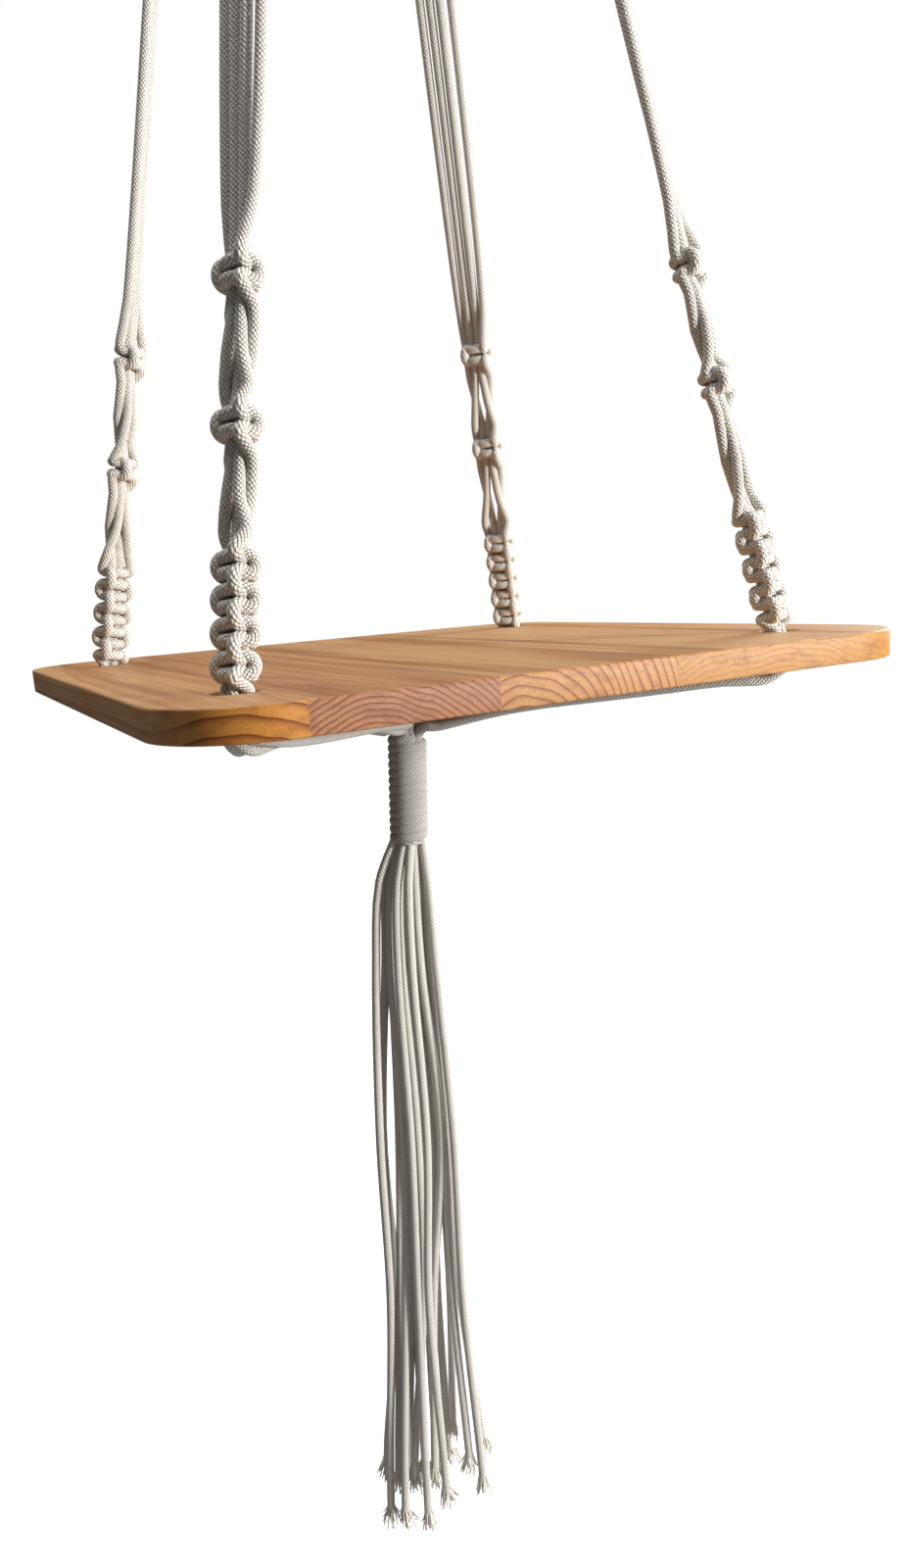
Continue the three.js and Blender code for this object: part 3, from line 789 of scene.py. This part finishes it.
def make_hanging(head, leg_material, wrap_material):
    """The four legs and the binding where they come together. The cords' lower ends go into the head."""
    bound = Tubes()
    for leg in LEGS:
        make_leg(leg, bound, head, leg_material)
    seat = np.array([0, 0, TOP_WRAP["height"]])
    top = seat + [0, 0, TOP_WRAP["turns"] * WRAP["pitch"]]
    add_wrap(bound, seat, top, TOP_WRAP["turns"])
    bound.piece("top_binding", "top_wrap", "wrap_cord", wrap_material)


# Tassel
def strand_route(row):
    centre = HUB["across"] + HUB["lean"]
    root_across = centre + ROOT["spread"] * (row.upper - ROOT["middle"])
    root_deep = ROOT["depth"] * row.deep_upper - ROOT["back"]
    bend_across = blend(root_across, row.upper, BEND["across"])
    bend_deep = blend(root_deep, row.deep_upper, BEND["deep"])
    below = (row.end - BRUSH["length"] - LEVEL["foot"]) / (LEVEL["foot"] - LEVEL["lower"])
    end = row.foot + below * END["outward"] * (row.foot - row.lower)
    points = [
        tassel_place(root_across, root_deep, LEVEL["root"]),
        tassel_place(bend_across, bend_deep, LEVEL["shoulder"]),
        tassel_place(row.upper, row.deep_upper, LEVEL["upper"]),
        tassel_place(row.middle, blend(row.deep_upper, row.deep_foot, DEEP["middle"]), LEVEL["middle"]),
        tassel_place(row.lower, blend(row.deep_upper, row.deep_foot, DEEP["lower"]), LEVEL["lower"]),
    ]
    if below > END["least"]:
        points.append(tassel_place(row.foot, row.deep_foot, LEVEL["foot"]))
    points.append(tassel_place(end, row.deep_foot, row.end - BRUSH["length"]))
    return points


def add_brush(tubes, cord, rng):
    """The frayed end of a strand: loose curled yarns that spread below it."""
    foot = cord.line[-1]
    along = cord.tangents[-1]
    openness = rng.uniform(*OPENNESS)
    lean = rng.normal(0, LEAN, 3) * [1, 1, 0]
    for _ in range(BRUSH["yarns"]):
        turn = rng.uniform(0, 2 * math.pi)
        spoke = math.cos(turn) * cord.sides[-1] + math.sin(turn) * cord.fronts[-1]
        share = math.sqrt(rng.uniform())
        spread = openness * share * rng.uniform(*SPREAD)
        reach = rng.uniform(*REACH) * BRUSH["length"]
        curl = rng.normal(0, CURL, 3)
        wave = rng.uniform(0, 2 * math.pi)
        points = []
        for t in np.linspace(0, 1, YARN_POINTS):
            out = BRUSH["root"] * share + spread * t ** BRUSH["flare"]
            swing = BRUSH["sway"] * t * math.sin(BRUSH["waves"] * t + wave)
            sway = (curl + lean) * t * t + swing * np.cross(along, spoke)
            points.append(foot + along * (reach * t - BRUSH["tuck"]) + spoke * out + sway)
        tubes.add(Cord(points, step=2.5), rng.uniform(*YARN_RADIUS), corners=5)


def make_tassel(head, cord_material, wrap_material, brush_material):
    rng = np.random.default_rng(SEED)
    strands = Tubes()
    brushes = Tubes()
    for row in STRANDS:
        cord = Cord(strand_route(row))
        strands.add(cord)
        add_brush(brushes, cord, rng)
    strands.piece("tassel_strands", "tassel", "tassel_cord", cord_material)
    brushes.piece("tassel_frayed_ends", "tassel", "tassel_cord", brush_material)
    top = tassel_place(HUB["across"], 0, HUB["drop"])
    foot = tassel_place(HUB["across"] + HUB["lean"], 0, HUB["drop"] + HUB["turns"] * WRAP["pitch"])
    add_wrap(head, foot, top, HUB["turns"])
    head.piece("tassel_binding", "tassel", "tassel_cord", wrap_material)


# Hanging loop: the cords' middles bent over in one bundle
def loop_side(side, foot, arch):
    """One side of the loop, from inside the top binding up to near the arch's foot."""
    sunk = foot - LOOP_FOOT["sunk"]
    widening = LOOP["side"] * (LOOP["half_width"] + LOOP_FOOT["x"])
    return [
        np.array([side * LOOP_FOOT["sunk_x"], 0, sunk]),
        np.array([side * LOOP_FOOT["x"], 0, sunk + LOOP_FOOT["rise"]]),
        np.array([side * widening, 0, (foot + arch) / 2]),
    ]


def loop_routes():
    foot = TOP_WRAP["height"] + TOP_WRAP["turns"] * WRAP["pitch"]
    half = LOOP["half_width"]
    arch = HANG + LOOP["bundle_radius"] - half
    turns = [math.radians(degrees) for degrees in range(180, -1, -30)]
    over = [np.array([half * math.cos(t), 0, arch + half * math.sin(t)]) for t in turns]
    spine = Cord(loop_side(-1, foot, arch) + over + loop_side(1, foot, arch)[::-1], step=2.0)
    share = spine.length / spine.length[-1]
    routes = [spine.line]
    for strand in range(BUNDLE["outer_strands"]):
        turn = 2 * math.pi * strand / BUNDLE["outer_strands"] + BUNDLE["twist"] * share
        spoke = np.cos(turn)[:, None] * spine.sides + np.sin(turn)[:, None] * spine.fronts
        routes.append(spine.line + BUNDLE["ring"] * spoke)
    return routes


def make_loop(material):
    tubes = Tubes()
    for route in loop_routes():
        tubes.add(Cord([*route[:-1:2], route[-1]], step=2.0), BUNDLE["strand"])
    tubes.piece("loop_cords", "hanging_loop", "leg_cord", material)


# The board: a filled outline with four holes, given its thickness and eased edges
def rounded_outline(x, y, corner, steps=20):
    points = []
    for quarter, (cx, cy) in enumerate(((x, y), (-x, y), (-x, -y), (x, -y))):
        middle = (math.copysign(abs(cx) - corner, cx), math.copysign(abs(cy) - corner, cy))
        for i in range(steps + 1):
            turn = math.radians(90) * (quarter + i / steps)
            points.append((middle[0] + corner * math.cos(turn), middle[1] + corner * math.sin(turn)))
    return points


def circle(x, y, radius, steps=40):
    turns = [2 * math.pi * i / steps for i in range(steps)]
    return [(x + radius * math.cos(t), y + radius * math.sin(t)) for t in turns]


def board_outlines():
    outset = 1 + HOLE["outset"] / math.hypot(LEG_X, LEG_Y)
    outlines = [rounded_outline(BOARD["width"] / 2, BOARD["depth"] / 2, BOARD["corner"])]
    outlines += [circle(leg.x * LEG_X * outset, leg.y * LEG_Y * outset, HOLE["radius"]) for leg in LEGS]
    return outlines


def board_curve():
    """The outlines as one filled curve, pulled in by as much as the rounded edge adds."""
    curve = bpy.data.curves.new("board_outline", "CURVE")
    curve.dimensions = "2D"
    curve.fill_mode = "BOTH"
    curve.offset = -BOARD["easing"] * MM
    curve.bevel_depth = BOARD["easing"] * MM
    curve.bevel_resolution = 3
    curve.extrude = (BOARD["thickness"] / 2 - BOARD["easing"]) * MM
    for outline in board_outlines():
        spline = curve.splines.new("POLY")
        spline.points.add(len(outline) - 1)
        for point, (x, y) in zip(spline.points, outline):
            point.co = (x * MM, y * MM, 0, 1)
        spline.use_cyclic_u = True
    return curve


def make_board(material):
    shape = add_object("board_shape", board_curve())
    bpy.context.view_layer.update()
    mesh = bpy.data.meshes.new_from_object(shape.evaluated_get(bpy.context.evaluated_depsgraph_get()))
    bpy.data.objects.remove(shape)
    mesh.transform(Matrix.Translation((0, 0, -(HANG + BOARD["thickness"] / 2) * MM)))
    mesh.name = "board_wood"
    mesh.materials.clear()
    mesh.shade_smooth()
    mesh.set_sharp_from_angle(angle=math.radians(40))
    finished("board_staves", mesh, "board", material)


# Light and floor
def make_lamp(lamp):
    data = bpy.data.lights.new(lamp.name, "AREA")
    data.shape = "DISK"
    data.size = lamp.size
    data.energy = lamp.power
    data.color = lamp.colour
    light = add_object(lamp.name, data)
    light.location = lamp.place
    light.rotation_euler = (Vector(lamp.aim) - Vector(lamp.place)).to_track_quat("-Z", "Y").to_euler()


def make_world():
    """A white surround that lights the object softly, and is brighter where it is seen itself."""
    world = bpy.data.worlds.new("studio")
    bpy.context.scene.world = world
    world.use_nodes = True
    nodes, links = world.node_tree.nodes, world.node_tree.links
    background = nodes["Background"]
    background.inputs["Color"].default_value = (1.0, 1.0, 1.0, 1.0)
    path = nodes.new("ShaderNodeLightPath")
    strength = nodes.new("ShaderNodeMapRange")
    strength.inputs["To Min"].default_value = WORLD["on_things"]
    strength.inputs["To Max"].default_value = WORLD["seen"]
    links.new(path.outputs["Is Camera Ray"], strength.inputs["Value"])
    links.new(strength.outputs["Result"], background.inputs["Strength"])


def make_floor():
    """A floor that shows as white as the surround, and gives back only a little light."""
    mesh = bpy.data.meshes.new("floor")
    low = cad_box[0].z - FLOOR["drop"]
    reach = FLOOR["reach"]
    corners = [(-reach, -reach, low), (reach, -reach, low), (reach, reach, low), (-reach, reach, low)]
    mesh.from_pydata(corners, [], [(0, 1, 2, 3)])
    s = Shader("pale_floor")
    seen = s.node("LightPath", {}).outputs["Is Camera Ray"]
    grey = FLOOR["grey"]
    material = s.finish(
        Base_Color=(grey, grey, grey, 1),
        Roughness=1.0,
        Emission_Color=(1, 1, 1, 1),
        Emission_Strength=seen,
    )
    mesh.materials.append(material)
    add_object("floor", mesh)


make_camera()
leg_cord = braided(LEG_COTTON)
# Both bindings take the darker cotton, painted shade
wrap_cord = braided(SHADED_BINDING_COTTON)
tassel_head = Tubes()  # the runs' ends and the binding round them
make_hanging(tassel_head, leg_cord, wrap_cord)
make_tassel(tassel_head, braided(TASSEL_COTTON), wrap_cord, loose(FRAYED_COTTON))
make_loop(leg_cord)
make_board(wood())
make_world()
make_floor()
for lamp in LAMPS:
    make_lamp(lamp)
bpy.context.scene.view_settings.view_transform = "Standard"
